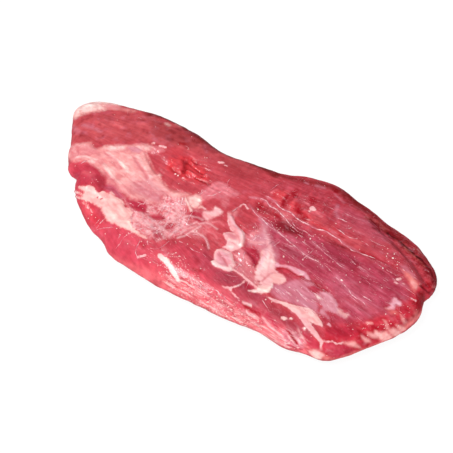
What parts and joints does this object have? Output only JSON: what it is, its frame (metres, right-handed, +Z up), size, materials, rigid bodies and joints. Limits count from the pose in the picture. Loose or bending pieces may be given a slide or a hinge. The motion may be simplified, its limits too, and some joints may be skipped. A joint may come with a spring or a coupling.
{
  "type": "flank steak",
  "caption": "Whole raw flank steak lying flat: a long flat beef muscle, broad at one end and tapering to a blunt tip, with fat, silverskin and a side flap.",
  "frame": {"origin": "middle of the outline's box, on the flat underside", "axes": "+X along the length from the tapered tip to the broad end, -Y towards the rolled front edge, +Z up"},
  "size_m": [0.334, 0.1541, 0.0258],
  "materials": {
    "raw_beef": null
  },
  "bodies": {
    "root": {"steak": "raw_beef"}
  },
  "joints": []
}
